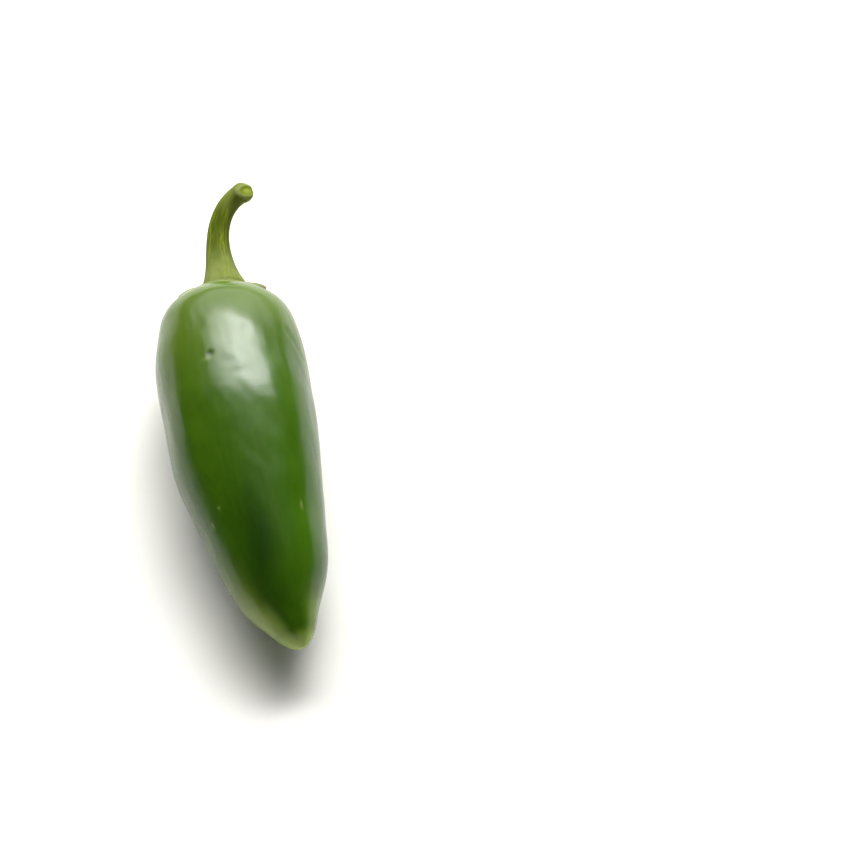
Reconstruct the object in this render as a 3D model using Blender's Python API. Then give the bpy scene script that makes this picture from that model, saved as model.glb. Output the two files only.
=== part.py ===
"""A whole jalapeno chilli pepper, lying on its side: its pod, its calyx and its stem.

Metres, +Z up. The three pieces are modelled along the pepper's own axis: the crown, where the
stem joins the pod, is the zero point, and the tip lies toward -Y. An empty then lays the pepper
down, so that the world's origin is the centre of the small flat spot that the pod rests on.
"""
import math

import bmesh
import bpy
from mathutils import Matrix, Vector

MM = 0.001

# The pod, from the crown (share 0) to the tip (share 1)
POD_LENGTH = 83.4 * MM
POD_RADIUS = 16.27 * MM
SHOULDER_SHARE = 0.343     # where the shoulder reaches full width
SHOULDER_FALL = 5.56       # how late the shoulder turns in toward the crown
SHOULDER_ROUND = 1.7
TAPER_START = 2.88         # how far down the pod the taper holds off
TAPER_ROUND = 0.58
NOSE_PINCH = 0.09          # the waist just above the rounded tip
NOSE_PLACE = 0.94
NOSE_REACH = 0.05
LOBE_HEIGHT = 0.010        # the three chambers' low swell, as a share of the radius
LOBE_TURN = math.radians(30)

# The pod's bend, all to one side, and the small hook at its tip
BEND = 1.92 * MM
BEND_SKEW = -2.4 * MM
TIP_HOOK = 1.9 * MM

# Uneven growth on the two flanks: (place, reach, side, swell), shares of length and radius
FLANK_SWELLS = (
    (0.13, 0.06, -1, -0.058),
    (0.50, 0.09, -1, 0.036),
    (0.68, 0.08, -1, -0.033),
    (0.13, 0.06, 1, -0.030),
    (0.42, 0.12, 1, 0.022),
    (0.80, 0.07, 1, 0.044),
    (0.92, 0.05, 1, -0.024),
)

# The calyx, a ribbed cap with six teeth, seated on the shoulder
SEAT_GAP = 0.32 * MM
HUB_RADIUS = 5.0 * MM
HUB_HEIGHT = 1.5 * MM
CAP_RADIUS = 7.1 * MM
CAP_THICKNESS = 0.75 * MM
TOOTH_COUNT = 6
TOOTH_LENGTH = 3.8 * MM
TOOTH_LIFT = 0.4 * MM
TOOTH_TURN = math.radians(30)
TOP_TOOTH_CUT = 0.75       # how much shorter the uppermost tooth is
RIB_HEIGHT = 0.45 * MM

# The stem, with a flared foot, shallow grooves and a swollen cut end
STEM_GAP = 0.3 * MM
STEM_LENGTH = 25.2 * MM
STEM_RADIUS = 2.13 * MM
FOOT_FLARE = 2.55 * MM
FOOT_REACH = 6.2 * MM
END_SWELL = 0.35 * MM
END_REACH = 2.0 * MM
STEM_LEAN = math.radians(7)
STEM_TURN = math.radians(119)
STEM_RISE = math.radians(50)
TURN_LATE = 3.5            # how late the stem turns aside
RISE_LATE = 2.8            # how late it rises
GROOVE_COUNT = 5
GROOVE_DEPTH = 0.06        # share of the radius

# How the pepper lies: the tip end is a little lower than the crown
REST_SHARE = 0.43          # the place along the pod that touches down
REST_PITCH = math.radians(3.75)
FLAT_DEPTH = 0.35 * MM

# Facets
POD_SIDES = 40
POD_RINGS = 48
CALYX_SIDES = 72
CALYX_RINGS = 18
RIM_ANGLE = math.radians(80)
STEM_STATIONS = 30
STEM_SIDES = 30
STEP = 1e-4


def pod_radius(share):
    """Radius of the pod's round section at a share of its length."""
    rise = 1 - min(share / SHOULDER_SHARE, 1)
    shoulder = (1 - rise ** SHOULDER_FALL) ** (1 / SHOULDER_ROUND)
    taper = max(1 - share ** TAPER_START, 0) ** TAPER_ROUND
    nose = 1 - NOSE_PINCH * math.exp(-((share - NOSE_PLACE) / NOSE_REACH) ** 2)
    return POD_RADIUS * shoulder * taper * nose


def section_swell(share, angle):
    """The section's departure from a circle: three low lobes and the swells on its flanks."""
    swell = 1 + LOBE_HEIGHT * math.sin(math.pi * share) * math.cos(3 * (angle - LOBE_TURN))
    for place, reach, side, amount in FLANK_SWELLS:
        facing = max(side * math.cos(angle), 0) ** 2
        swell += amount * facing * math.exp(-((share - place) / reach) ** 2)
    return swell


def pod_axis(share):
    """Centre of the pod's section, on a line that bends sideways."""
    skew = BEND_SKEW * share * (1 - share) * (1 - 2 * share)
    x = -BEND * 4 * share * (1 - share) + skew + TIP_HOOK * share ** 10
    return Vector((x, -POD_LENGTH * share, 0))


def section_frame(share):
    """The pod's sideways and upward directions, square to its axis, and the way to the crown."""
    ahead = pod_axis(share - STEP) - pod_axis(share + STEP)
    ahead.normalize()
    up = Vector((0, 0, 1))
    side = ahead.cross(up)
    return side, up, ahead


def pod_point(share, angle):
    """A point on the pod's skin; angle 0 faces +X and a quarter turn faces up."""
    side, up, _ = section_frame(share)
    radius = pod_radius(share) * section_swell(share, angle)
    return pod_axis(share) + radius * (side * math.cos(angle) + up * math.sin(angle))


def crown_drop(reach):
    """How far the pod's shoulder lies below the crown at a distance from the axis."""
    rise = (1 - (reach / POD_RADIUS) ** SHOULDER_ROUND) ** (1 / SHOULDER_FALL)
    return POD_LENGTH * SHOULDER_SHARE * (1 - rise)


def tooth_wave(angle):
    """The tooth's full size on its midline, falling to 0 halfway to the next one."""
    turn = (angle - TOOTH_TURN) * TOOTH_COUNT / (2 * math.pi)
    away = 2 * abs(turn - round(turn))
    size = 1 - TOP_TOOTH_CUT * max(math.sin(angle), 0) ** 4
    return size * (1 - away) ** 2


def smooth_step(value):
    """0 below 0, 1 above 1, and an even curve between."""
    value = min(max(value, 0), 1)
    return value * value * (3 - 2 * value)


def cap_thickness(reach, angle):
    """The cap's thickness: the raised hub, its slope down to the rim, and the ribs."""
    slope = smooth_step((reach - HUB_RADIUS) / (CAP_RADIUS - HUB_RADIUS))
    rib_share = (reach - HUB_RADIUS) / (CAP_RADIUS + TOOTH_LENGTH - HUB_RADIUS)
    rib = RIB_HEIGHT * tooth_wave(angle) * math.sin(math.pi * min(max(rib_share, 0), 1))
    return HUB_HEIGHT + (CAP_THICKNESS - HUB_HEIGHT) * slope + rib


def calyx_point(share, face, angle):
    """A point of the cap; face is 1 on its outer side, 0 on its inner side, between at the rim."""
    rim = CAP_RADIUS + TOOTH_LENGTH * tooth_wave(angle)
    reach = share * rim
    lift = TOOTH_LIFT * smooth_step((reach - CAP_RADIUS) / TOOTH_LENGTH)
    drop = crown_drop(reach) * smooth_step(reach / HUB_RADIUS) if face else crown_drop(reach)
    height = SEAT_GAP + lift - drop + face * cap_thickness(reach, angle)
    side, up, ahead = section_frame(0)
    return ahead * height + reach * (side * math.cos(angle) + up * math.sin(angle))


def stem_radius(run):
    """The stem's radius at a distance along it from its foot."""
    foot = FOOT_FLARE * math.exp(-run / FOOT_REACH)
    end = END_SWELL * math.exp(-((STEM_LENGTH - run) / END_REACH) ** 2)
    return STEM_RADIUS + foot + end


def stem_route():
    """Points along the stem's middle, which leaves the crown straight, then turns and rises."""
    side, up, ahead = section_frame(0)
    spacing = STEM_LENGTH / (STEM_STATIONS - 1)
    point = ahead * (SEAT_GAP + HUB_HEIGHT + STEM_GAP)
    points = [point.copy()]
    for station in range(1, STEM_STATIONS):
        share = (station - 0.5) / (STEM_STATIONS - 1)
        turn = STEM_TURN * share ** TURN_LATE - STEM_LEAN * (1 - share) ** 2
        rise = STEM_RISE * share ** RISE_LATE
        level = ahead * math.cos(turn) + side * math.sin(turn)
        point += spacing * (level * math.cos(rise) + up * math.sin(rise))
        points.append(point.copy())
    return points


def laid_down():
    """The turn and shift that lay the pepper on the floor, flat spot on the world's origin."""
    belly = pod_point(REST_SHARE, -math.pi / 2)
    tilt = Matrix.Rotation(REST_PITCH, 4, "X")
    return Matrix.Translation(-(tilt @ belly) - Vector((0, 0, FLAT_DEPTH))) @ tilt


def plant_material(name, color, roughness):
    """A plain waxy surface in one colour."""
    material = bpy.data.materials.new(name)
    material.use_nodes = True
    shader = material.node_tree.nodes["Principled BSDF"]
    shader.inputs["Base Color"].default_value = (*color, 1)
    shader.inputs["Roughness"].default_value = roughness
    shader.inputs["Metallic"].default_value = 0
    return material


def add_piece(name, mesh, material, parts, holder):
    """Put a finished mesh in the scene as one named piece of the pepper."""
    mesh.materials.append(material)
    mesh.shade_smooth()
    mesh.set_sharp_from_angle(angle=math.radians(40))
    piece = bpy.data.objects.new(name, mesh)
    piece.parent = holder
    parts.objects.link(piece)


def pod_mesh(lay):
    """The pod: a sphere's grid drawn out along the axis, with the resting flat planed off."""
    work = bmesh.new()
    bmesh.ops.create_uvsphere(work, u_segments=POD_SIDES, v_segments=POD_RINGS, radius=1)
    for vertex in work.verts:
        angle = math.atan2(-vertex.co.y, vertex.co.x)
        vertex.co = pod_point((1 - vertex.co.z) / 2, angle)
    floor_point = lay.inverted() @ Vector((0, 0, 0))
    floor_down = lay.inverted().to_3x3() @ Vector((0, 0, -1))
    everything = work.verts[:] + work.edges[:] + work.faces[:]
    bmesh.ops.bisect_plane(work, geom=everything, plane_co=floor_point, plane_no=floor_down,
                           dist=1e-7, clear_outer=True)
    cut_edges = [edge for edge in work.edges if edge.is_boundary]
    bmesh.ops.contextual_create(work, geom=cut_edges)
    bmesh.ops.recalc_face_normals(work, faces=work.faces[:])
    mesh = bpy.data.meshes.new("pod")
    work.to_mesh(mesh)
    work.free()
    return mesh


def calyx_mesh():
    """The calyx: a flattened sphere whose upper half is the cap's outer side."""
    work = bmesh.new()
    bmesh.ops.create_uvsphere(work, u_segments=CALYX_SIDES, v_segments=CALYX_RINGS, radius=1)
    for vertex in work.verts:
        angle = math.atan2(-vertex.co.y, vertex.co.x)
        polar = math.acos(max(min(vertex.co.z, 1), -1))
        share = min(min(polar, math.pi - polar) / RIM_ANGLE, 1)
        across = (math.pi - RIM_ANGLE - polar) / (math.pi - 2 * RIM_ANGLE)
        vertex.co = calyx_point(share, min(max(across, 0), 1), angle)
    bmesh.ops.recalc_face_normals(work, faces=work.faces[:])
    mesh = bpy.data.meshes.new("calyx")
    work.to_mesh(mesh)
    work.free()
    return mesh


def outline_curve(name, points, closed):
    """A curve through points, given as (point, radius) pairs."""
    curve = bpy.data.curves.new(name, "CURVE")
    curve.dimensions = "2D" if closed else "3D"
    curve.fill_mode = "NONE" if closed else "FULL"
    line = curve.splines.new("POLY")
    line.points.add(len(points) - 1)
    for spot, (point, radius) in zip(line.points, points):
        spot.co = (*point, 1)
        spot.radius = radius
    line.use_cyclic_u = closed
    return curve


def grooved_section():
    """The stem's section at a radius of 1 mm: a circle with shallow grooves."""
    points = []
    for corner in range(STEM_SIDES):
        angle = 2 * math.pi * corner / STEM_SIDES
        radius = MM * (1 - GROOVE_DEPTH * (0.5 - 0.5 * math.cos(GROOVE_COUNT * angle)))
        points.append((Vector((radius * math.cos(angle), radius * math.sin(angle), 0)), 1))
    return outline_curve("stem_section", points, True)


def stem_mesh(guides):
    """The stem: the grooved section swept along its route, thicker at the foot and the end."""
    section = bpy.data.objects.new("stem_section", grooved_section())
    section.hide_render = True
    section.display_type = "WIRE"
    guides.objects.link(section)
    spacing = STEM_LENGTH / (STEM_STATIONS - 1)
    stations = [(point, stem_radius(number * spacing) / MM)
                for number, point in enumerate(stem_route())]
    curve = outline_curve("stem_route", stations, False)
    curve.bevel_mode = "OBJECT"
    curve.bevel_object = section
    curve.use_fill_caps = True
    route = bpy.data.objects.new("stem_route", curve)
    guides.objects.link(route)
    graph = bpy.context.evaluated_depsgraph_get()
    mesh = bpy.data.meshes.new_from_object(route.evaluated_get(graph))
    bpy.data.objects.remove(route)
    work = bmesh.new()
    work.from_mesh(mesh)
    bmesh.ops.remove_doubles(work, verts=work.verts[:], dist=1e-6)
    bmesh.ops.recalc_face_normals(work, faces=work.faces[:])
    work.to_mesh(mesh)
    work.free()
    mesh.materials.clear()
    mesh.name = "stem"
    return mesh


def build():
    """Clear the scene and model the pepper."""
    for old in list(bpy.data.objects):
        bpy.data.objects.remove(old)
    parts = bpy.data.collections.new("chilli pepper")
    guides = bpy.data.collections.new("guides")
    bpy.context.scene.collection.children.link(parts)
    bpy.context.scene.collection.children.link(guides)
    lay = laid_down()
    holder = bpy.data.objects.new("pepper", None)
    holder.matrix_world = lay
    parts.objects.link(holder)
    skin = plant_material("pod skin", (0.045, 0.13, 0.012), 0.3)
    cap = plant_material("calyx green", (0.16, 0.22, 0.04), 0.55)
    stalk = plant_material("stem green", (0.19, 0.25, 0.035), 0.5)
    add_piece("pod", pod_mesh(lay), skin, parts, holder)
    add_piece("calyx", calyx_mesh(), cap, parts, holder)
    add_piece("stem", stem_mesh(guides), stalk, parts, holder)


build()
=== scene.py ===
import math

import bpy
import numpy as np
from mathutils import Matrix, Vector


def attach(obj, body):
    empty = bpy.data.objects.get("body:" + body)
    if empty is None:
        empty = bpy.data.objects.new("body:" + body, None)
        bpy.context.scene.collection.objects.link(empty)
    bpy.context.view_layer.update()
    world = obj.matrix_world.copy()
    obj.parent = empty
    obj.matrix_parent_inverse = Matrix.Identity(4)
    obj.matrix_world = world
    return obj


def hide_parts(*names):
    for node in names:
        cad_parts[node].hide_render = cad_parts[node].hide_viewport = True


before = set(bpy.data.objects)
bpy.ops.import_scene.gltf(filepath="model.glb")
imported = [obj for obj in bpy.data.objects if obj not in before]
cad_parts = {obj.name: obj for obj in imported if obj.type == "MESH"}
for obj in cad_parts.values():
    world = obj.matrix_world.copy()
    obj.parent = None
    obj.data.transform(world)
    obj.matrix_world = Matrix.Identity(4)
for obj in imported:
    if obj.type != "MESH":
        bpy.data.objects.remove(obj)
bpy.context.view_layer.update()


# The pod is one hollow fruit with a tough waxy skin, grown along a slightly bent axis from the
# crown, where the stalk joins it, to a blunt tip. It lies on its belly, so the lowest skin is flat.

MM = 0.001
POD_LENGTH = 83.4 * MM
POD_RADIUS = 16.27 * MM
SHOULDER_SHARE = 0.343
SHOULDER_FALL = 5.56
SHOULDER_ROUND = 1.7
TAPER_START = 2.88
TAPER_ROUND = 0.58
NOSE_PINCH = 0.09
NOSE_PLACE = 0.94
NOSE_REACH = 0.05
LOBE_COUNT = 3
LOBE_HEIGHT = 0.010
LOBE_TURN = math.radians(30)
BEND = 1.92 * MM
BEND_SKEW = -2.4 * MM
TIP_HOOK = 1.9 * MM
HOOK_LATE = 10
AXIS_STEP = 1e-4
REST_SHARE = 0.43
REST_PITCH = math.radians(3.75)
FLAT_DEPTH = 0.35 * MM
POD_RINGS = 270
POD_SIDES = 360

# Swells and hollows of the flanks: place, reach, side, and height in shares of the radius. Here
# and below, a place is a share of the pod's length, and a turn is in degrees from +X toward up.
FLANK_SWELLS = (
    (0.13, 0.06, -1, -0.058),
    (0.50, 0.09, -1, 0.036),
    (0.68, 0.08, -1, -0.033),
    (0.13, 0.06, 1, -0.030),
    (0.42, 0.12, 1, 0.022),
    (0.80, 0.07, 1, 0.044),
    (0.92, 0.05, 1, -0.024),
)


def bell(value, middle, reach):
    """1 at the middle, falling off alike to either side over the reach: the exponential of minus
    the squared distance."""
    return np.exp(-((value - middle) / reach) ** 2)


def pod_axis(share):
    """Middle of the pod's section: straight toward -Y, bowed sideways as a parabola with a little
    skew, and with a hook that only shows close to the tip."""
    skew = BEND_SKEW * share * (1 - share) * (1 - 2 * share)
    x = -BEND * 4 * share * (1 - share) + skew + TIP_HOOK * share ** HOOK_LATE
    return np.stack([x, -POD_LENGTH * share, 0 * share], -1)


def section_frame(share):
    """Sideways, upward and crownward directions of the section, from the axis a little way to
    either side of the share."""
    ahead = pod_axis(share - AXIS_STEP) - pod_axis(share + AXIS_STEP)
    ahead /= np.linalg.norm(ahead, axis=-1, keepdims=True)
    up = np.zeros_like(ahead)
    up[..., 2] = 1
    return np.cross(ahead, up), up, ahead


def pod_radius(share):
    """Full radius times a shoulder that rises as a power curve, a taper that falls as one, and a
    bell-shaped pinch above the tip."""
    rise = 1 - np.minimum(share / SHOULDER_SHARE, 1)
    shoulder = (1 - rise ** SHOULDER_FALL) ** (1 / SHOULDER_ROUND)
    taper = np.maximum(1 - share ** TAPER_START, 0) ** TAPER_ROUND
    nose = 1 - NOSE_PINCH * bell(share, NOSE_PLACE, NOSE_REACH)
    return POD_RADIUS * shoulder * taper * nose


def section_swell(share, angle):
    """1, plus low lobes round the section, plus bell-shaped swells on the two flanks."""
    lobes = np.cos(LOBE_COUNT * (angle - LOBE_TURN))
    swell = 1 + LOBE_HEIGHT * np.sin(math.pi * share) * lobes
    for place, reach, side, amount in FLANK_SWELLS:
        facing = np.maximum(side * np.cos(angle), 0) ** 2
        swell = swell + amount * facing * bell(share, place, reach)
    return swell


def pod_point(share, angle, proud=0):
    """The section's middle plus its radius, swell and any extra height, at an angle from +X
    toward up."""
    side, up, _ = section_frame(share)
    reach = (pod_radius(share) * section_swell(share, angle) + proud)[..., None]
    outward = side * np.cos(angle)[..., None] + up * np.sin(angle)[..., None]
    return pod_axis(share) + reach * outward


def lay_down(points):
    """Pitches points about X and shifts them, so the belly's lowest skin sinks under the floor
    by the depth of the flat spot."""
    cos, sin = math.cos(REST_PITCH), math.sin(REST_PITCH)
    tilt = np.array([[1, 0, 0], [0, cos, -sin], [0, sin, cos]])
    belly = tilt @ pod_point(np.array(REST_SHARE), np.array(-math.pi / 2))
    return points @ tilt.T - belly - np.array([0, 0, FLAT_DEPTH])


def smooth_step(value):
    """0 below 0, 1 above 1, and an even curve between."""
    value = np.clip(value, 0, 1)
    return value * value * (3 - 2 * value)


# Heights in mm of the upper skin's low swells: along the pod by place, and round it by turn
RIDGE_SWELLS = ((0.07, -0.092), (0.14, -0.310), (0.21, -0.139), (0.28, 0.069), (0.35, 0.322),
                (0.42, 0.407), (0.50, 0.061), (0.59, -0.078), (0.69, -0.206))
ROUND_SWELLS = ((40, 0.124), (55, 0.052), (70, -0.146), (85, -0.112), (100, 0.038), (115, -0.079),
                (130, 0.067), (145, 0.044))
RIDGE_REACH = 0.07
ROUND_REACH = 13
UPPER_START = 15
UPPER_FADE = 35
CROWN_FADE = 0.15
SWELL_END = 0.85
SWELL_FADE = 0.25


def low_swells(share, angle):
    """Bell-shaped swells, some along the pod and some round it, added up. Those along it fade
    out toward the belly, and those round it toward both ends."""
    turn = np.degrees(angle)
    along = sum(high * bell(share, place, RIDGE_REACH) for place, high in RIDGE_SWELLS)
    round_it = sum(high * bell(turn, place, ROUND_REACH) for place, high in ROUND_SWELLS)
    top = (smooth_step((turn - UPPER_START) / UPPER_FADE)
           * smooth_step((180 - UPPER_START - turn) / UPPER_FADE))
    body = smooth_step(share / CROWN_FADE) * smooth_step((SWELL_END - share) / SWELL_FADE)
    return along * top + round_it * body


# Waves of uneven growth: height and length in mm, seed of the draw, and stretch along the pod
SKIN_WAVES = ((0.022, 15, 3, 1.6), (0.027, 5.5, 8, 1.8), (0.008, 2.2, 12, 2.2))
WAVE_COSINES = 28
WAVE_SPREAD = (0.7, 1.3)
WAVES_FADE_CROWN = 0.12
WAVES_FADE_TIP = 0.1


def ripple(points, length, seed, stretch):
    """A smooth random field of about unit height: cosines of nearly one wavelength in random
    directions, added up. stretch draws the pattern out along the pod."""
    draw = np.random.default_rng(seed)
    ways = draw.normal(size=(WAVE_COSINES, 3))
    ways /= np.linalg.norm(ways, axis=1, keepdims=True)
    tightness = draw.uniform(*WAVE_SPREAD, (WAVE_COSINES, 1))
    waves = ways * (2 * math.pi / length) * tightness / np.array([1, stretch, 1])
    phase = draw.uniform(0, 2 * math.pi, WAVE_COSINES)
    total = np.zeros(points.shape[:-1])
    for wave, start in zip(waves, phase):
        total += np.cos(points @ wave + start)
    return total / math.sqrt(WAVE_COSINES / 2)


def turned_from(angle, turn):
    """An angle's distance from a turn in degrees, the shorter way round."""
    return (angle - math.radians(turn) + math.pi) % (2 * math.pi) - math.pi


def spot(share, angle, place, turn, along, across):
    """A bell-shaped mark: 1 at a place and turn on the skin, falling off along the pod and round
    it over the given distances in mm."""
    run = (share - place) * POD_LENGTH / (along * MM)
    round_it = turned_from(angle, turn) * pod_radius(np.asarray(place)) / (across * MM)
    return np.exp(-run ** 2 - round_it ** 2)


def streak(share, angle, start, end, width):
    """1 on the line between two (place, turn) points of the skin, falling off over the width."""
    scale = pod_radius(np.asarray((start[0] + end[0]) / 2))
    run = share * POD_LENGTH - start[0] * POD_LENGTH
    turn = turned_from(angle, start[1]) * scale
    way = np.array([(end[0] - start[0]) * POD_LENGTH, math.radians(end[1] - start[1]) * scale])
    size = math.hypot(*way)
    along = np.clip((run * way[0] + turn * way[1]) / size ** 2, 0, 1)
    gap = np.hypot(run - along * way[0], turn - along * way[1])
    return np.exp(-(gap / width) ** 2)


def closed_surface(name, grid, first, last, marks):
    """A closed skin: rings of points, each joined to the next one, with a pole at either end.
    Points of the grid are (ring, side), and marks are numbers kept on each point."""
    rings, sides = grid.shape[:2]
    points = np.concatenate([first[None], grid.reshape(-1, 3), last[None]])
    ring, side = np.meshgrid(np.arange(rings - 1), np.arange(sides), indexing="ij")
    after = (side + 1) % sides
    low = 1 + ring * sides
    quads = np.stack([low + side, low + sides + side, low + sides + after, low + after], -1)
    around = np.arange(sides)
    beside = (around + 1) % sides
    top = np.stack([np.zeros_like(around), 1 + around, 1 + beside], -1)
    end = 1 + (rings - 1) * sides
    base = np.stack([end + beside, end + around, np.full_like(around, len(points) - 1)], -1)
    corners = np.concatenate([top.ravel(), quads.ravel(), base.ravel()])
    sizes = np.concatenate([np.full(sides, 3), np.full((rings - 1) * sides, 4), np.full(sides, 3)])
    mesh = bpy.data.meshes.new(name)
    mesh.vertices.add(len(points))
    mesh.vertices.foreach_set("co", points.astype(np.float32).ravel())
    mesh.loops.add(len(corners))
    mesh.loops.foreach_set("vertex_index", corners.astype(np.int32))
    mesh.polygons.add(len(sizes))
    mesh.polygons.foreach_set("loop_start", (np.cumsum(sizes) - sizes).astype(np.int32))
    mesh.update(calc_edges=True)
    mesh.validate()
    mesh.shade_smooth()
    for mark, values in marks.items():
        wide = values.ndim == 3
        kept = mesh.attributes.new(mark, "FLOAT_VECTOR" if wide else "FLOAT", "POINT")
        flat = values.reshape(rings * sides, -1)
        whole = np.concatenate([flat[:sides].mean(0)[None], flat, flat[-sides:].mean(0)[None]])
        kept.data.foreach_set("vector" if wide else "value", whole.astype(np.float32).ravel())
    piece = bpy.data.objects.new(name, mesh)
    bpy.context.scene.collection.objects.link(piece)
    return piece


# The part of a noise's values that most of a surface shows
NOISE_RANGE = (0.3, 0.7)


class Finish:
    """A node material under construction, with a Principled shader at its end."""

    def __init__(self, name):
        self.material = bpy.data.materials.new(name)
        self.material.use_nodes = True
        self.tree = self.material.node_tree
        self.shader = self.tree.nodes["Principled BSDF"]
        self.place = self.add("ShaderNodeTexCoord").outputs["Object"]

    def add(self, kind, **settings):
        node = self.tree.nodes.new(kind)
        for key, value in settings.items():
            setattr(node, key, value)
        return node

    def feed(self, socket, value):
        """Links another node's output to a socket, or sets a number or a colour on it."""
        if isinstance(value, bpy.types.NodeSocket):
            self.tree.links.new(value, socket)
        elif isinstance(value, tuple) and len(value) == 3 and socket.type == "RGBA":
            socket.default_value = (*value, 1)
        else:
            socket.default_value = value

    def mark(self, name, vector=False):
        """A number kept on the mesh's points."""
        return self.add("ShaderNodeAttribute", attribute_name=name).outputs[
            "Vector" if vector else "Fac"]

    def drawn_out(self, along):
        """Object coordinates with Y scaled, so that a pattern is drawn out along the pod."""
        node = self.add("ShaderNodeMapping")
        self.feed(node.inputs["Vector"], self.place)
        node.inputs["Scale"].default_value = (1, along, 1)
        return node.outputs["Vector"]

    def noise(self, scale, detail=3, rough=0.5, source=None):
        node = self.add("ShaderNodeTexNoise")
        self.feed(node.inputs["Vector"], source or self.place)
        node.inputs["Scale"].default_value = scale
        node.inputs["Detail"].default_value = detail
        node.inputs["Roughness"].default_value = rough
        return node.outputs["Fac"]

    def span(self, value, low, high, to_low=0, to_high=1):
        """A value's range spread evenly over another range."""
        node = self.add("ShaderNodeMapRange")
        self.feed(node.inputs["Value"], value)
        for key, number in zip(("From Min", "From Max", "To Min", "To Max"),
                               (low, high, to_low, to_high)):
            node.inputs[key].default_value = number
        return node.outputs["Result"]

    def sum(self, a, b, how="ADD"):
        node = self.add("ShaderNodeMath", operation=how)
        self.feed(node.inputs[0], a)
        self.feed(node.inputs[1], b)
        return node.outputs[0]

    def times(self, a, b):
        return self.sum(a, b, "MULTIPLY")

    def mix(self, share, a, b):
        """Colour a turning into colour b as the share goes from 0 to 1."""
        node = self.add("ShaderNodeMix", data_type="RGBA", clamp_factor=True)
        self.feed(node.inputs["Factor"], share)
        self.feed(node.inputs[6], a)
        self.feed(node.inputs[7], b)
        return node.outputs[2]

    def bump(self, height, distance, under=None):
        """Fine relief from a height, on top of the relief under it."""
        node = self.add("ShaderNodeBump")
        self.feed(node.inputs["Height"], height)
        node.inputs["Distance"].default_value = distance
        if under:
            self.feed(node.inputs["Normal"], under)
        return node.outputs["Normal"]

    def close(self, color, roughness, normal, **constants):
        """Joins the chains to the shader, sets its constants and gives the material."""
        self.feed(self.shader.inputs["Base Color"], color)
        self.feed(self.shader.inputs["Roughness"], roughness)
        self.feed(self.shader.inputs["Normal"], normal)
        for key, value in constants.items():
            self.shader.inputs[key.replace("_", " ")].default_value = value
        return self.material


# Rings crowd toward both ends, and each starts at the belly
ring_share = 0.5 * (1 - np.cos(math.pi * np.arange(1, POD_RINGS) / POD_RINGS))
side_angle = 1.5 * math.pi - 2 * math.pi * np.arange(POD_SIDES) / POD_SIDES
share, angle = np.meshgrid(ring_share, side_angle, indexing="ij")
smooth_skin = pod_point(share, angle)
middle = smooth_step(share / WAVES_FADE_CROWN) * smooth_step((1 - share) / WAVES_FADE_TIP)
waves = sum(high * ripple(smooth_skin, length * MM, seed, stretch)
            for high, length, seed, stretch in SKIN_WAVES)

# A pit with a raised corky lip, a rubbed crease on the shoulder's right, small dents and pale
# flecks: place, turn, and reach along and across in mm. Depths and heights are in mm too.
PIT = (0.271, 103.5, 0.65, 0.75)
PIT_DEPTH = 0.14
PIT_DARKNESS = 0.85
LIP = (0.2825, 106.5, 0.45, 0.9)
LIP_HEIGHT = 0.03
CREASE_START = (0.198, 38.5)
CREASE_END = (0.262, 21)
CREASE_WIDTH = 0.9 * MM
CREASE_DEPTH = 0.06
CREASE_DULLNESS = 0.7
FLECKS = ((0.688, 50, 0.9, 0.28), (0.650, 128, 0.35, 0.3), (0.678, 141.6, 0.6, 0.25))
DENTS = (
    (0.208, 73.5, 1.1, 1.1, 0.052),
    (0.262, 81.0, 0.9, 1.1, 0.036),
    (0.226, 76.0, 1.4, 1.1, 0.050),
    (0.334, 86.0, 1.0, 2.8, 0.034),
    (0.352, 97.0, 0.8, 1.6, 0.026),
    (0.240, 89.0, 1.0, 1.2, 0.030),
    (0.300, 92.0, 1.1, 1.6, 0.030),
    (0.391, 66.0, 1.1, 2.2, 0.030),
    (0.690, 50.0, 1.6, 0.5, 0.020),
    (0.771, 123.5, 2.4, 0.5, 0.032),
)
pit = spot(share, angle, *PIT)
lip = spot(share, angle, *LIP)
crease = streak(share, angle, CREASE_START, CREASE_END, CREASE_WIDTH)
flecks = sum(spot(share, angle, *fleck) for fleck in FLECKS)
proud = low_swells(share, angle) + middle * waves
proud = proud - PIT_DEPTH * pit + LIP_HEIGHT * lip - CREASE_DEPTH * crease
for *dent, depth in DENTS:
    proud = proud - depth * spot(share, angle, *dent)
skin_grid = lay_down(pod_point(share, angle, proud * MM))
skin_grid[..., 2] = np.maximum(skin_grid[..., 2], 0)

# Paler skin on the shoulder, and at the very tip. The paler colour reaching further down the
# shoulder's left side is painted light. Turns are counted from the top of the pod, to the left.
SHOULDER_PALE = 0.25
SHOULDER_LIT_LEFT = 0.15
TIP_PALE_START = 0.960
TIP_PALE_REACH = 0.040
pale_and_lit_shoulder = bell(share, 0, SHOULDER_PALE + SHOULDER_LIT_LEFT * np.maximum(-np.cos(angle), 0))
leftward = np.degrees(angle) - 90
pale_tip = smooth_step((share - TIP_PALE_START) / TIP_PALE_REACH)

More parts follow.
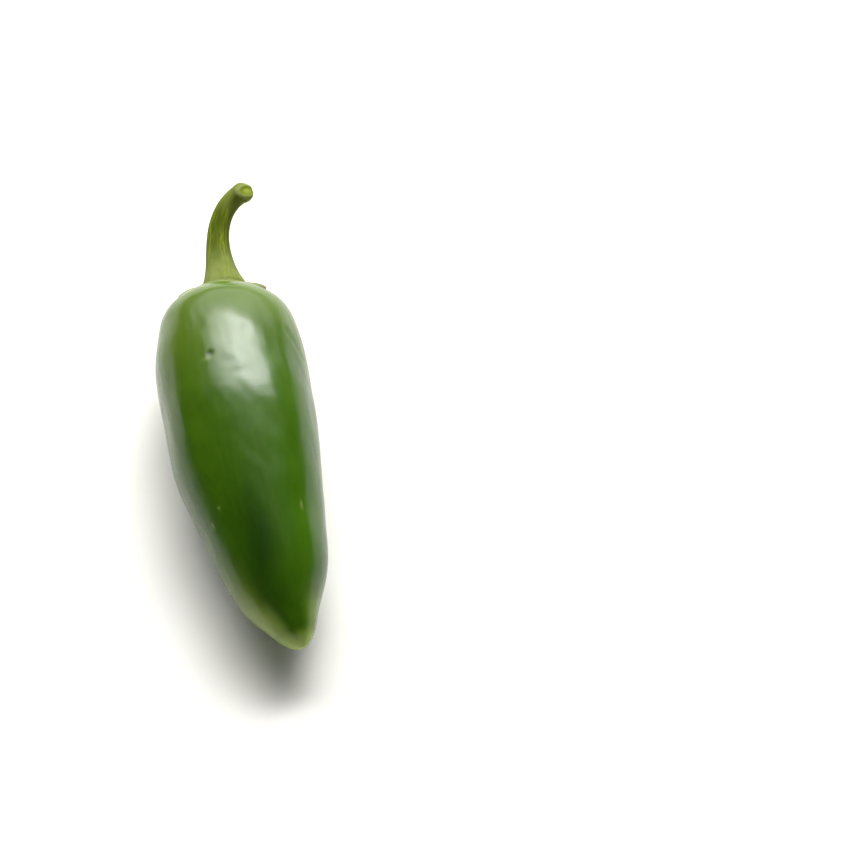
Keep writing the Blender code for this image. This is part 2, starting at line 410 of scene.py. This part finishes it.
# Olive skin low on the left flank, wider near the tip, with a little on the right there. It
# fades out at the belly.
FLANK_PLACE = 0.95
FLANK_REACH = 0.12
FLANK_OLIVE = 0.85
LEFT_START = 26
LEFT_WIDENING = 14
LEFT_WIDE_PLACE = 0.86
LEFT_FADE = 36
RIGHT_START = 14
RIGHT_FADE = 40
RIGHT_SHARE = 0.4
RIGHT_PLACE = 0.84
FLANK_RUN = 0.1
BELLY_TURN = 170
BELLY_FADE = 50
widening = LEFT_WIDENING * smooth_step((share - LEFT_WIDE_PLACE) / FLANK_RUN)
low_flank = smooth_step((leftward - LEFT_START + widening) / LEFT_FADE)
low_flank *= smooth_step((BELLY_TURN - leftward) / BELLY_FADE)
right_flank = smooth_step((-leftward - RIGHT_START) / RIGHT_FADE)
right_flank *= smooth_step((BELLY_TURN + leftward) / BELLY_FADE)
low_flank += RIGHT_SHARE * right_flank * smooth_step((share - RIGHT_PLACE) / FLANK_RUN)
pale_flank = bell(share, FLANK_PLACE, FLANK_REACH) * low_flank

# Painted shade: a darker green band along the lower half, which turns left and widens toward the
# tip. Painted reflection: a lighter green patch to the right of it.
DEEP_PLACE = 0.77
DEEP_REACH = 0.15
DEEP_TURN = math.radians(97)
DEEP_DRIFT = math.radians(85)
DEEP_WIDTH = 0.34
DEEP_WIDENING = 1.2
DRIFT_START = 0.74
REFLECTION_PLACE = 0.74
REFLECTION_REACH = 0.10
REFLECTION_TURN = math.radians(46)
REFLECTION_WIDTH = 0.20
past = np.maximum(share - DRIFT_START, 0)
painted_shade_band = bell(share, DEEP_PLACE, DEEP_REACH)
painted_shade_band *= bell(angle, DEEP_TURN + DEEP_DRIFT * past, DEEP_WIDTH + DEEP_WIDENING * past)
painted_reflection_patch = bell(share, REFLECTION_PLACE, REFLECTION_REACH) * bell(angle, REFLECTION_TURN, REFLECTION_WIDTH)

crown_pole = lay_down(pod_point(np.array(0.0), np.array(0.0)))
tip_pole = lay_down(pod_point(np.array(1.0), np.array(0.0)))
pod = closed_surface(
    "pod_skin", skin_grid, crown_pole, tip_pole,
    {"pale_and_lit": pale_and_lit_shoulder, "olive": np.clip(pale_tip + FLANK_OLIVE * pale_flank, 0, 1),
     "deep_shade": painted_shade_band, "painted_reflection": painted_reflection_patch, "scar": np.clip(pit * PIT_DARKNESS, 0, 1),
     "lip": np.clip(lip + flecks, 0, 1), "dull": np.clip(CREASE_DULLNESS * crease, 0, 1)})

SKIN_GREEN = (0.026, 0.079, 0.0004)
CLOUD_GREEN = (0.039, 0.108, 0.0008)
STREAK_GREEN = (0.045, 0.105, 0.003)
# Painted shade colour of the band along the lower half
DEEP_SHADE_GREEN = (0.007, 0.027, 0.0004)
# Painted reflection colour of the patch on the right flank
REFLECTION_GREEN = (0.040, 0.115, 0.0004)
# Pale skin colour of the shoulder, also used as painted light on its left side
PALE_AND_LIT_GREEN = (0.086, 0.146, 0.008)
OLIVE_GREEN = (0.290, 0.400, 0.055)
PIT_GREEN = (0.016, 0.032, 0.003)
CORK = (0.14, 0.21, 0.05)
DEEP_SHADE_SHARE = 0.85
REFLECTION_SHARE = 0.8
SKIN_ROUGHNESS = (0.240, 0.268)
CREASE_ROUGHNESS = 0.22
skin = Finish("waxy green skin")
cloudy = skin.noise(95, 4, 0.55)
streaky = skin.noise(620, 3, 0.55, skin.drawn_out(0.10))
fine = skin.noise(2600, 2, 0.6, skin.drawn_out(0.55))
green = skin.mix(skin.span(cloudy, 0.35, 0.68), SKIN_GREEN, CLOUD_GREEN)
green = skin.mix(skin.span(streaky, 0.42, 0.70, 0, 0.45), green, STREAK_GREEN)
# Painted shade: the band along the lower half is darkened in colour
green = skin.mix(skin.times(skin.mark("deep_shade"), DEEP_SHADE_SHARE), green, DEEP_SHADE_GREEN)
# Painted reflection: a patch on the right flank is lightened in colour
green = skin.mix(skin.times(skin.mark("painted_reflection"), REFLECTION_SHARE), green, REFLECTION_GREEN)
uneven = skin.span(cloudy, *NOISE_RANGE, 0.75, 1.1)
# Paler shoulder skin, with painted light where it spreads down the left side
green = skin.mix(skin.times(skin.mark("pale_and_lit"), uneven), green, PALE_AND_LIT_GREEN)
green = skin.mix(skin.times(skin.mark("olive"), uneven), green, OLIVE_GREEN)
green = skin.mix(skin.mark("scar"), green, PIT_GREEN)
green = skin.mix(skin.mark("lip"), green, CORK)
gloss = skin.sum(skin.span(cloudy, *NOISE_RANGE, *SKIN_ROUGHNESS),
                 skin.times(skin.mark("dull"), CREASE_ROUGHNESS))
grain = skin.bump(fine, 0.012 * MM, skin.bump(streaky, 0.005 * MM))
pod.data.materials.append(skin.close(
    green, gloss, grain, IOR=1.45, Specular_IOR_Level=0.5, Subsurface_Weight=0.12,
    Subsurface_Scale=0.0012, Subsurface_Radius=(0.5, 1.0, 0.15)))
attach(pod, "root")
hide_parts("pod")


# The calyx is the flower's green cup, grown onto the crown. It is a thin leathery cap with six
# short pointed teeth and a rib running into each of them, dry and brown at their tips.

SEAT_GAP = 0.32 * MM
SEAT_SHARE = 0.2
HUB_RADIUS = 5.0 * MM
HUB_HEIGHT = 1.5 * MM
CAP_RADIUS = 7.1 * MM
CAP_THICKNESS = 0.75 * MM
CAP_SINK = 0.08 * MM
UNDERSIDE_SINK = 0.15 * MM
EDGE_START = 0.6
EDGE_REACH = 0.4
EDGE_THINNING = 0.66
BOLD_EDGE = 0.3
RIM_BULGE = 0.02
TOOTH_COUNT = 6
TOOTH_LENGTH = 3.8 * MM
TOOTH_LIFT = 0.03 * MM
PROUD_TOOTH = 0.45 * MM
TOOTH_TURN = math.radians(30)
TOP_TOOTH_CUT = 0.75
RIB_HEIGHT = 0.45 * MM
VEIN_HEIGHT = 0.05 * MM
VEIN_COUNT = 36
CALYX_RINGS = 132
CALYX_SIDES = 480
RIM_ANGLE = math.radians(80)


def crown_drop(reach):
    """Height of the shoulder's power curve below the crown, at a distance from the axis."""
    rise = (1 - (reach / POD_RADIUS) ** SHOULDER_ROUND) ** (1 / SHOULDER_FALL)
    return POD_LENGTH * SHOULDER_SHARE * (1 - rise)


def tooth_wave(angle):
    """The square of the nearness to a tooth's midline, with the uppermost tooth cut short."""
    turn = (angle - TOOTH_TURN) * TOOTH_COUNT / (2 * math.pi)
    away = 2 * np.abs(turn - np.round(turn))
    return (1 - TOP_TOOTH_CUT * np.maximum(np.sin(angle), 0) ** 4) * (1 - away) ** 2


def calyx_reach(part, angle):
    """A part of the distance from the axis to the toothed rim."""
    return part * (CAP_RADIUS + TOOTH_LENGTH * tooth_wave(angle))


def calyx_point(part, face, angle):
    """A cap on the shoulder: reach is a part of the toothed rim, and height is the shoulder's
    drop plus, on the outer face, the hub's slope, a rib to each tooth and fine veins. The tooth
    on the right stands bold: it is lifted, and less thin at its edge."""
    reach = calyx_reach(part, angle)
    drop = crown_drop(reach)
    swell = section_swell(drop / POD_LENGTH, angle)
    drop = crown_drop(reach / swell)
    drop = np.where(face > 0, drop * smooth_step(reach / HUB_RADIUS), drop)
    slope = smooth_step((reach - HUB_RADIUS) / (CAP_RADIUS - HUB_RADIUS))
    out = np.clip((reach - HUB_RADIUS) / (CAP_RADIUS + TOOTH_LENGTH - HUB_RADIUS), 0, 1)
    rib = RIB_HEIGHT * tooth_wave(angle) * np.sin(math.pi * out)
    veins = VEIN_HEIGHT * np.sin(VEIN_COUNT * angle + 3 * np.sin(5 * angle)) * smooth_step(out * 4)
    bold = np.maximum(np.cos(angle - TOOTH_TURN), 0) ** 10
    thin = 1 - (EDGE_THINNING - BOLD_EDGE * bold) * smooth_step((part - EDGE_START) / EDGE_REACH)
    thick = (HUB_HEIGHT + (CAP_THICKNESS - HUB_HEIGHT) * slope) * thin + rib + veins
    lift = (TOOTH_LIFT + PROUD_TOOTH * bold) * smooth_step(out) - CAP_SINK
    height = SEAT_GAP * SEAT_SHARE + lift - drop + face * thick - UNDERSIDE_SINK * (1 - face)
    side, up, ahead = section_frame(np.zeros_like(part))
    level = side * np.cos(angle)[..., None] + up * np.sin(angle)[..., None]
    return ahead * height[..., None] + level * reach[..., None]


# Rings run from the hub down the outer face, round the rim and back along the underside
polar = math.pi * np.arange(1, CALYX_RINGS) / CALYX_RINGS
around = -2 * math.pi * np.arange(CALYX_SIDES) / CALYX_SIDES
polar, angle = np.meshgrid(polar, around, indexing="ij")
part = np.clip(np.minimum(polar, math.pi - polar) / RIM_ANGLE, 0, 1)
across = np.clip((math.pi - RIM_ANGLE - polar) / (math.pi - 2 * RIM_ANGLE), 0, 1)
bulged = part * (1 + RIM_BULGE * np.sin(math.pi * across))
cap_grid = lay_down(calyx_point(bulged, across, angle))
hub_points = [calyx_point(np.zeros(1), np.array([face]), np.zeros(1)) for face in (1.0, 0.0)]
poles = [lay_down(point)[0] for point in hub_points]

# Where the cap is dry and where its rim shows, and coordinates that draw veins out from the hub
DRY_START = 8.8 * MM
DRY_REACH = 2.2 * MM
RIM_START = 0.90
RIM_REACH = 0.10
SPOKE_TIGHTNESS = 6
SPOKE_RUN = 0.4
tip = calyx_reach(part, angle)
dry = smooth_step((tip - DRY_START) / DRY_REACH)
rim = smooth_step((part - RIM_START) / RIM_REACH)
spokes = np.stack([np.cos(angle) * SPOKE_TIGHTNESS, np.sin(angle) * SPOKE_TIGHTNESS,
                   tip / MM * SPOKE_RUN], -1)
calyx = closed_surface("calyx_cap", cap_grid, *poles, {"dry": dry, "rim": rim, "spokes": spokes})

LEAF_DARK = (0.070, 0.105, 0.010)
LEAF_LIGHT = (0.130, 0.165, 0.024)
VEIN_GREEN = (0.190, 0.225, 0.050)
RIM_GREEN = (0.215, 0.262, 0.080)
RIM_SHARE = 0.8
BROWN_DARK = (0.085, 0.072, 0.036)
BROWN_LIGHT = (0.200, 0.185, 0.100)
LEAF_ROUGHNESS = (0.45, 0.62)
cap = Finish("leathery calyx")
patch = cap.noise(420, 4, 0.6)
vein = cap.noise(1.6, 3, 0.6, cap.mark("spokes", True))
leaf = cap.mix(cap.span(patch, 0.35, 0.65), LEAF_DARK, LEAF_LIGHT)
leaf = cap.mix(cap.span(vein, 0.45, 0.65, 0, 0.6), leaf, VEIN_GREEN)
leaf = cap.mix(cap.times(cap.mark("rim"), RIM_SHARE), leaf, RIM_GREEN)
brown = cap.mix(cap.span(patch, *NOISE_RANGE), BROWN_DARK, BROWN_LIGHT)
withered = cap.times(cap.mark("dry"), cap.span(patch, *NOISE_RANGE, 0.6, 1.2))
leaf = cap.mix(withered, leaf, brown)
relief = cap.bump(patch, 0.05 * MM, cap.bump(vein, 0.06 * MM))
calyx.data.materials.append(cap.close(
    leaf, cap.span(patch, *NOISE_RANGE, *LEAF_ROUGHNESS), relief, Specular_IOR_Level=0.25))
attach(calyx, "root")
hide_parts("calyx")


# The stem is the stalk the pepper was picked by: fibrous, ribbed and flared where it runs into
# the calyx. It curls aside, and its swollen end is cut across, showing pale pith in a green rind.

STEM_GAP = 0.3 * MM
STEM_LENGTH = 25.7 * MM
STEM_RADIUS = 2.13 * MM
FOOT_FLARE = 2.55 * MM
FOOT_REACH = 6.2 * MM
FILLET_HEIGHT = 0.35 * MM
FILLET_REACH = 1.2 * MM
END_SWELL = 0.47 * MM
END_REACH = 2.0 * MM
STEM_LEAN = math.radians(7)
STEM_TURN = math.radians(119)
STEM_RISE = math.radians(50)
TURN_LATE = 3.5
RISE_LATE = 2.8
GROOVE_COUNT = 5
GROOVE_DEPTH = 0.06
GROOVE_WANDER = 0.25
WANDER_RUN = 9 * MM
FIBRE_COUNT = 33
FIBRE_DEPTH = 0.008
FIBRE_RUN = 4 * MM
STEM_STATIONS = 260
STEM_SIDES = 240
DOME_HEIGHT = 1.70 * MM
DOME_FULLNESS = 0.72
DOME_RINGS = 60
CUT_SLANT = 0.30
CUT_TURN = math.radians(-111)
SCAR_LONG = 2.12 * MM
SCAR_SHORT = 1.30 * MM
OFF_SCAR = 3
PITH_DEPTH = 0.20 * MM
RIND_LIP = 0.07 * MM
FOOT_DEEP = 2.2 * MM
FOOT_RINGS = 18


def stem_route(stations):
    """Equal steps added up from the foot. Their direction turns aside and rises as powers of the
    run, so that the curl comes late."""
    part = (np.arange(1, stations) - 0.5) / (stations - 1)
    turn = STEM_TURN * part ** TURN_LATE - STEM_LEAN * (1 - part) ** 2
    rise = STEM_RISE * part ** RISE_LATE
    side, up, ahead = section_frame(np.array(0.0))
    way = (np.cos(turn) * np.cos(rise))[:, None] * ahead
    way = way + (np.sin(turn) * np.cos(rise))[:, None] * side + np.sin(rise)[:, None] * up
    foot = ahead * (SEAT_GAP + HUB_HEIGHT + STEM_GAP)
    return np.concatenate([foot[None], foot + np.cumsum(way, 0) * STEM_LENGTH / (stations - 1)])


def stem_radius(run):
    """The stalk's radius plus a flare that dies away from the foot and a bell at the cut end. The
    part sunk in the calyx keeps the foot's radius, with a short fillet."""
    flare = FOOT_FLARE * np.exp(-np.maximum(run, 0) / FOOT_REACH)
    foot = flare + FILLET_HEIGHT * smooth_step(-run / FILLET_REACH)
    return STEM_RADIUS + foot + END_SWELL * bell(STEM_LENGTH - run, 0, END_REACH)


# The route, with a straight foot sunk in the calyx, and a level and an upright way across it
path = stem_route(STEM_STATIONS)
straight = path[1] - path[0]
straight /= np.linalg.norm(straight)
sunk = -FOOT_DEEP * (1 - np.arange(FOOT_RINGS) / FOOT_RINGS)
path = np.concatenate([path[0] + sunk[:, None] * straight, path])
ahead = np.gradient(path, axis=0)
ahead /= np.linalg.norm(ahead, axis=1, keepdims=True)
level = np.cross(ahead, [0, 0, 1])
level /= np.linalg.norm(level, axis=1, keepdims=True)
upright = np.cross(level, ahead)
run = np.concatenate([sunk, STEM_LENGTH * np.linspace(0, 1, STEM_STATIONS)])

# Rings of the stalk's side, then a swollen end that domes over
last = len(run) - 1 - int(DOME_HEIGHT / STEM_LENGTH * (STEM_STATIONS - 1))
kept = last + 1
dome = np.radians(np.linspace(4, 89, DOME_RINGS))
dome_radius = stem_radius(run[last]) * np.cos(dome) ** DOME_FULLNESS
ring_station = np.concatenate([np.arange(kept), np.full(DOME_RINGS, last)])
ring_radius = np.concatenate([stem_radius(run[:kept]), dome_radius])
ring_rise = np.concatenate([np.zeros(kept), np.sin(dome)])
angle = 2 * math.pi * np.arange(STEM_SIDES) / STEM_SIDES
ring_part, angle = np.meshgrid(np.arange(kept + DOME_RINGS), angle, indexing="ij")
station = ring_station[ring_part]
rise = ring_rise[ring_part]
reach_run = run[station] + DOME_HEIGHT * rise

# Grooves and fibres that wander a little round the stalk and die away over the dome
wander = GROOVE_WANDER * np.sin(reach_run / WANDER_RUN)
turned = angle + wander + 0.02 * np.sin(3 * angle)
groove = 0.5 - 0.5 * np.cos(GROOVE_COUNT * turned)
fibres = 0.5 + 0.5 * np.cos(FIBRE_COUNT * turned + 2 * np.sin(reach_run / FIBRE_RUN))
shape = 1 - (GROOVE_DEPTH * groove ** 1.3 + FIBRE_DEPTH * fibres) * (1 - 0.7 * rise)
reach = ring_radius[ring_part] * shape

# The cut is slanted, with an oval scar: pith sunk in its middle, inside a raised rind. The scar's
# ring is 1 at its edge.
long_way, short_way = reach * np.cos(angle - CUT_TURN), reach * np.sin(angle - CUT_TURN)
scar_ring = np.where(rise > 0, np.hypot(long_way / SCAR_LONG, short_way / SCAR_SHORT), OFF_SCAR)
sunk_pith = PITH_DEPTH * (1 - smooth_step((scar_ring - 0.35) / 0.60))
raised_rim = RIND_LIP * bell(scar_ring, 1.05, 0.18)
shift = DOME_HEIGHT * rise + CUT_SLANT * long_way * rise - sunk_pith + raised_rim
stalk_grid = (path[station] + ahead[station] * shift[..., None]
              + reach[..., None] * (level[station] * np.cos(angle)[..., None]
                                    + upright[station] * np.sin(angle)[..., None]))
end_pole = path[last] + ahead[last] * (DOME_HEIGHT - PITH_DEPTH)

# Where painted light lightens the stalk toward its end, where the scar shows, and coordinates that
# draw fibres out along the stalk
KNOB_START = 15.5 * MM
KNOB_REACH = 7.0 * MM
STRAND_TIGHTNESS = 2.2
STRAND_RUN = 0.10
lit_knob = smooth_step((reach_run - KNOB_START) / KNOB_REACH)
scar = 1 - smooth_step((scar_ring - 1.05) / 0.35)
strand = np.stack([np.cos(turned) * STRAND_TIGHTNESS, np.sin(turned) * STRAND_TIGHTNESS,
                   reach_run / MM * STRAND_RUN], -1)
stalk = closed_surface(
    "stem_stalk", lay_down(stalk_grid), lay_down(path[0]), lay_down(end_pole),
    {"run": reach_run / STEM_LENGTH, "groove": groove, "lit_knob": lit_knob, "scar": scar,
     "ring": np.minimum(scar_ring, 2), "strand": strand})

STALK_DARK = (0.068, 0.092, 0.002)
STALK_LIGHT = (0.160, 0.200, 0.012)
# Painted shade colour for the stalk's grooves
GROOVE_SHADE_GREEN = (0.030, 0.050, 0.001)
GROOVE_SHADE_SHARE = 0.65
FOOT_GREEN = (0.170, 0.204, 0.052)
FOOT_END, FOOT_FULL = 0.37, 0.08
# Painted light colour for the stalk toward its end
KNOB_PAINTED_LIGHT = (0.175, 0.210, 0.038)
PITH_GREEN = (0.300, 0.360, 0.045)
PITH_EDGE = (0.150, 0.195, 0.016)
RIND_PALE = (0.200, 0.240, 0.070)
STALK_ROUGHNESS = (0.55, 0.70)
rind = Finish("ribbed stalk")
fibre = rind.noise(2.6, 4, 0.6, rind.mark("strand", True))
blotch = rind.noise(330, 3, 0.6)
stem_green = rind.mix(rind.span(fibre, 0.40, 0.60), STALK_DARK, STALK_LIGHT)
# Painted shade: the grooves are darkened in colour
stem_green = rind.mix(rind.times(rind.mark("groove"), GROOVE_SHADE_SHARE), stem_green, GROOVE_SHADE_GREEN)
foot_share = rind.span(rind.mark("run"), FOOT_END, FOOT_FULL)
foot_share = rind.times(foot_share, rind.span(blotch, *NOISE_RANGE, 0.55, 1.15))
stem_green = rind.mix(foot_share, stem_green, FOOT_GREEN)
# Painted light: the stalk toward its end is lightened, where the lamps leave it dim
lit_knob_share = rind.times(rind.mark("lit_knob"), rind.span(blotch, *NOISE_RANGE, 0.65, 1.05))
stem_green = rind.mix(lit_knob_share, stem_green, KNOB_PAINTED_LIGHT)
ring_mark = rind.mark("ring")
pith = rind.mix(rind.span(ring_mark, 0.15, 0.60), PITH_GREEN, PITH_EDGE)
pith = rind.mix(rind.span(ring_mark, 0.72, 1.02), pith, RIND_PALE)
stem_green = rind.mix(rind.mark("scar"), stem_green, pith)
stalk_relief = rind.bump(blotch, 0.03 * MM, rind.bump(fibre, 0.10 * MM))
stalk.data.materials.append(rind.close(
    stem_green, rind.span(blotch, *NOISE_RANGE, *STALK_ROUGHNESS), stalk_relief,
    Specular_IOR_Level=0.05))
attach(stalk, "root")
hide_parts("stem")


# The pepper lies on a sheet of plain white paper, which is the floor. It is matt, a little warm
# in tone, and far wider than the view.

FLOOR_HALF = 3.0
PAPER_DARK = (0.875, 0.860, 0.820)
PAPER_LIGHT = (0.895, 0.880, 0.840)
floor_mesh = bpy.data.meshes.new("floor")
floor_corners = [(-FLOOR_HALF, -FLOOR_HALF, 0), (FLOOR_HALF, -FLOOR_HALF, 0),
                 (FLOOR_HALF, FLOOR_HALF, 0), (-FLOOR_HALF, FLOOR_HALF, 0)]
floor_mesh.from_pydata(floor_corners, [], [(0, 1, 2, 3)])
floor = bpy.data.objects.new("floor", floor_mesh)
bpy.context.scene.collection.objects.link(floor)
paper = Finish("white paper")
tone = paper.mix(paper.noise(14, 3), PAPER_DARK, PAPER_LIGHT)
floor_mesh.materials.append(paper.close(
    tone, paper.span(tone, 0, 1, 0.85, 0.9), paper.bump(paper.noise(900), 0.02 * MM),
    Specular_IOR_Level=0.1))


# Soft lights stand round the pepper in a dim room. Two boxes with fading edges and a broad dim
# one hang on a rig above and behind it, and shine on the skin. A low one in front fills its tip.

RIG_FAR = 0.9
RIG_WAY = Vector((0.155, 0.659, 0.736)).normalized()
RIG_RIGHT = Vector((0.973, -0.229, 0))
RIG_RIGHT = (RIG_RIGHT - RIG_WAY * RIG_RIGHT.dot(RIG_WAY)).normalized()
RIG_BACK = RIG_WAY.cross(RIG_RIGHT)
FRONT_FAR = 0.9
FRONT_WAY = Vector((-0.10, -0.97, 0.20)).normalized()
FRONT_ALONG = Vector((0.97, -0.10, 0)).normalized()
EDGE_STEPS = ((1.32, 1.50), (0.97, 1.08), (0.62, 0.74))
STEP_NEARER = 0.01
ROOM_GLOW = 0.03


def soft_box(name, middle, way, along, long, wide, radiance):
    """An oval soft light, whose way is the direction from the pepper to its plane. Its half sizes
    are long and wide, and its power is radiance times pi times area."""
    light = bpy.data.lights.new(name, "AREA")
    light.shape = "ELLIPSE"
    light.size, light.size_y = 2 * long, 2 * wide
    light.energy = radiance * math.pi ** 2 * long * wide
    lamp = bpy.data.objects.new(name, light)
    facing = Matrix((along, way.cross(along), way)).transposed()
    lamp.matrix_world = Matrix.Translation(middle) @ facing.to_4x4()
    bpy.context.scene.collection.objects.link(lamp)


def on_rig(right, back):
    """A place on the overhead rig: right and back of its middle, in shares of its distance."""
    return (RIG_WAY + RIG_RIGHT * right + RIG_BACK * back) * RIG_FAR


def rig_turn(turn):
    """The direction of a box's long side on the rig, turned from the rig's right."""
    return RIG_RIGHT * math.cos(turn) + RIG_BACK * math.sin(turn)


def soft_edged_box(name, place, near, turn, long, wide, radiance):
    """Boxes each a little nearer and smaller than the last, so that the light falls away toward
    its edge. near is the first one's share of the rig's distance."""
    for step, (longer, wider) in enumerate(EDGE_STEPS):
        nearer = near - STEP_NEARER * step
        soft_box(f"{name}_{step + 1}", on_rig(*place) * nearer, RIG_WAY, rig_turn(turn),
                 long * longer * nearer, wide * wider * nearer, radiance / len(EDGE_STEPS))


soft_edged_box("wide_box", (-0.060, -0.190), 1.00, 0.06, 0.470, 0.176, 10.2)
soft_edged_box("key_box", (0.316, -0.135), 0.95, 0.27, 0.300, 0.106, 15.0)
soft_box("back_box", on_rig(-0.030, 0.397), RIG_WAY, rig_turn(0.22), 0.99, 0.354, 2.8)
soft_box("front_box", FRONT_WAY * FRONT_FAR, FRONT_WAY, FRONT_ALONG, 0.80, 0.16, 1.1)
world = bpy.data.worlds.new("dim room")
world.use_nodes = True
world.node_tree.nodes["Background"].inputs["Color"].default_value = (1, 1, 1, 1)
world.node_tree.nodes["Background"].inputs["Strength"].default_value = ROOM_GLOW
bpy.context.scene.world = world
bpy.context.scene.view_settings.view_transform = "Standard"


# The camera looks down on the pepper from the tip's side, at the photograph's viewing angle.
# Its lens is a long one, and it aims beside the pepper, which stands left of the middle.

CAMERA_TURN = math.radians(-12.34)
CAMERA_RISE = math.radians(60.5)
CAMERA_FAR = 0.439
LENS_LENGTH = 85
SENSOR_WIDTH = 36
AIM = Vector((0.03970, 0.00293, 0))
back = Vector((math.sin(CAMERA_TURN) * math.cos(CAMERA_RISE),
               -math.cos(CAMERA_TURN) * math.cos(CAMERA_RISE), math.sin(CAMERA_RISE)))
lens = bpy.data.cameras.new("camera")
lens.lens = LENS_LENGTH
lens.sensor_width = SENSOR_WIDTH
camera = bpy.data.objects.new("camera", lens)
camera.location = AIM + back * CAMERA_FAR
camera.rotation_euler = (-back).to_track_quat("-Z", "Y").to_euler()
bpy.context.scene.collection.objects.link(camera)
bpy.context.scene.camera = camera
